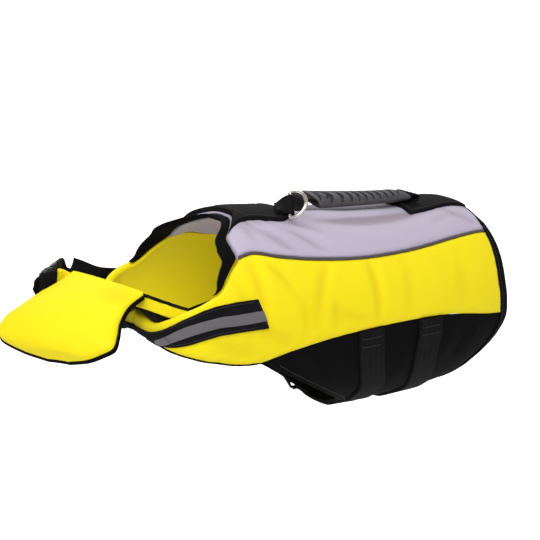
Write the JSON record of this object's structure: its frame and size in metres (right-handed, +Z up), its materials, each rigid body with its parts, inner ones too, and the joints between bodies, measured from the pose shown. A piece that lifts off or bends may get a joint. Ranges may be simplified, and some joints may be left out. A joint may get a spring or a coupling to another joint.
{
  "type": "dog life jacket",
  "caption": "Padded life jacket for a small dog in its worn, hollow shape, with a back panel, chest wings, belly wrap, straps, buckles, lift handle, leash ring and chin float.",
  "frame": {"origin": "on the spine, on the inner face of the back panel, half way along the back, where the wearer's back carries the jacket", "axes": "-X towards the dog's head, -Y towards the dog's left, +Z up"},
  "size_m": [0.5146, 0.1915, 0.239],
  "materials": {
    "yellow_cloth": "smooth matt woven nylon with a slight sheen",
    "grey_cloth": "smooth matt woven nylon, grey lavender",
    "black_cloth": "matt black cloth",
    "black_webbing": "ribbed woven webbing",
    "black_net": "fine warp knitted net",
    "piping_cloth": "smooth folded piping",
    "reflective_tape": "grey glass bead reflective tape",
    "grip_rubber": "satin moulded grip",
    "buckle_plastic": "satin black moulding",
    "nickel": "bright nickel plate"
  },
  "bodies": {
    "jacket": {"back_panel": "grey_cloth", "side_panel_left": "yellow_cloth", "side_panel_right": "yellow_cloth", "belly_panel_left": "black_cloth", "belly_panel_right": "black_cloth", "piping_left": "piping_cloth", "piping_right": "piping_cloth", "chest_strip_left": "black_webbing", "chest_strip_right": "black_webbing", "reflective_tape_left": "reflective_tape", "reflective_tape_right": "reflective_tape", "belly_strap_front_left": "black_webbing", "belly_strap_front_right": "black_webbing", "belly_strap_rear_left": "black_webbing", "belly_strap_rear_right": "black_webbing", "belly_buckle_front_female": "buckle_plastic", "belly_buckle_front_male": "buckle_plastic", "belly_buckle_rear_female": "buckle_plastic", "belly_buckle_rear_male": "buckle_plastic", "neck_collar": "black_cloth", "rear_binding": "black_cloth", "spine_webbing_front": "black_webbing", "spine_webbing_rear": "black_webbing", "ring_loop": "black_webbing", "handle_grip": "grip_rubber", "handle_webbing_front": "black_webbing", "handle_webbing_rear": "black_webbing", "neck_band": "yellow_cloth", "neck_band_binding": "black_cloth", "chest_mesh": "black_net", "chin_float": "yellow_cloth", "chin_float_back": "black_cloth", "neck_buckle_female": "buckle_plastic", "neck_buckle_male": "buckle_plastic", "neck_strap": "black_webbing", "neck_strap_end": "black_webbing", "neck_band_loop": "yellow_cloth"},
    "ring": {"d_ring": "nickel"}
  },
  "joints": [
    {"name": "ring_swing", "type": "hinge", "parent": "jacket", "child": "ring", "pos_m": [-0.0934, -0.0306, 0.0312], "axis": [-0.438, -0.581, -0.686], "range_deg": [-50, 120]}
  ]
}
